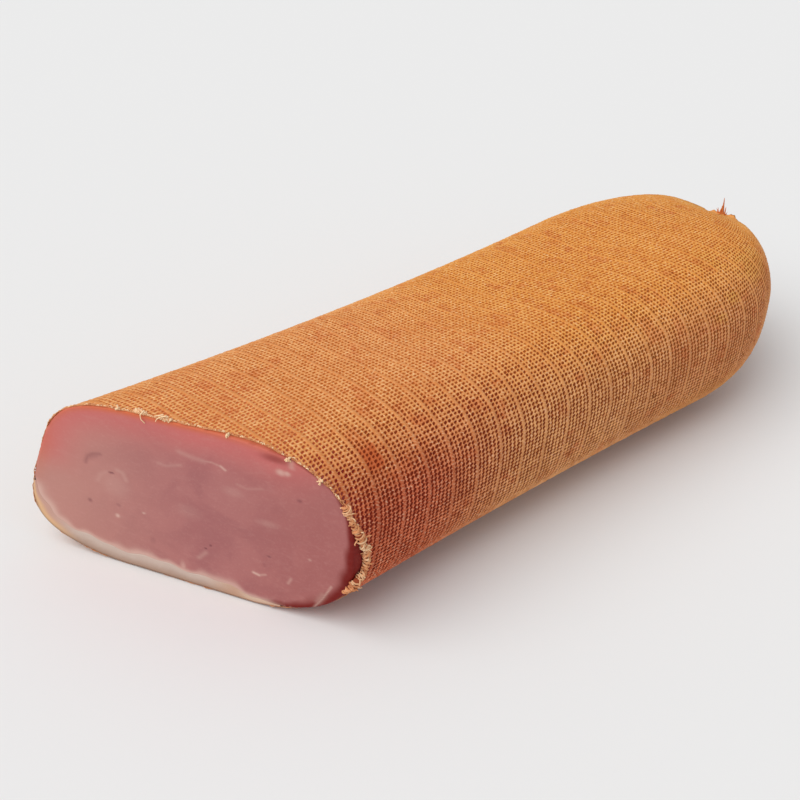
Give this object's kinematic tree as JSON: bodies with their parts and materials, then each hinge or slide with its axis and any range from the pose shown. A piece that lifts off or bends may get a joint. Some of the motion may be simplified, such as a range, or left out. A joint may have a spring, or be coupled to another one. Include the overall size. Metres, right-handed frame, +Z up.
{
  "type": "lightly smoked pork loin",
  "caption": "Cut piece of lightly smoked pork loin in a close woven net, with a fat cap along its lower left side and the net gathered shut at the far end.",
  "frame": {"origin": "centre of the bounding box's base, on the surface that the loin rests on", "axes": "+Y runs along the loin from the cut face to the gathered end, +Z is up, +X is to the right as seen from the cut face"},
  "size_m": [0.1118, 0.3388, 0.0703],
  "materials": {
    "lean": "moist satin cured pork, pink with fine pale marbling and a red smoked rim",
    "fat": "smooth cream-white fat, slightly waxy",
    "netting": "dry smoke-stained cotton net, tan with orange-brown stains"
  },
  "bodies": {
    "root": {"lean_meat": "lean", "fat_cap": "fat", "net_casing": "netting"}
  },
  "joints": []
}
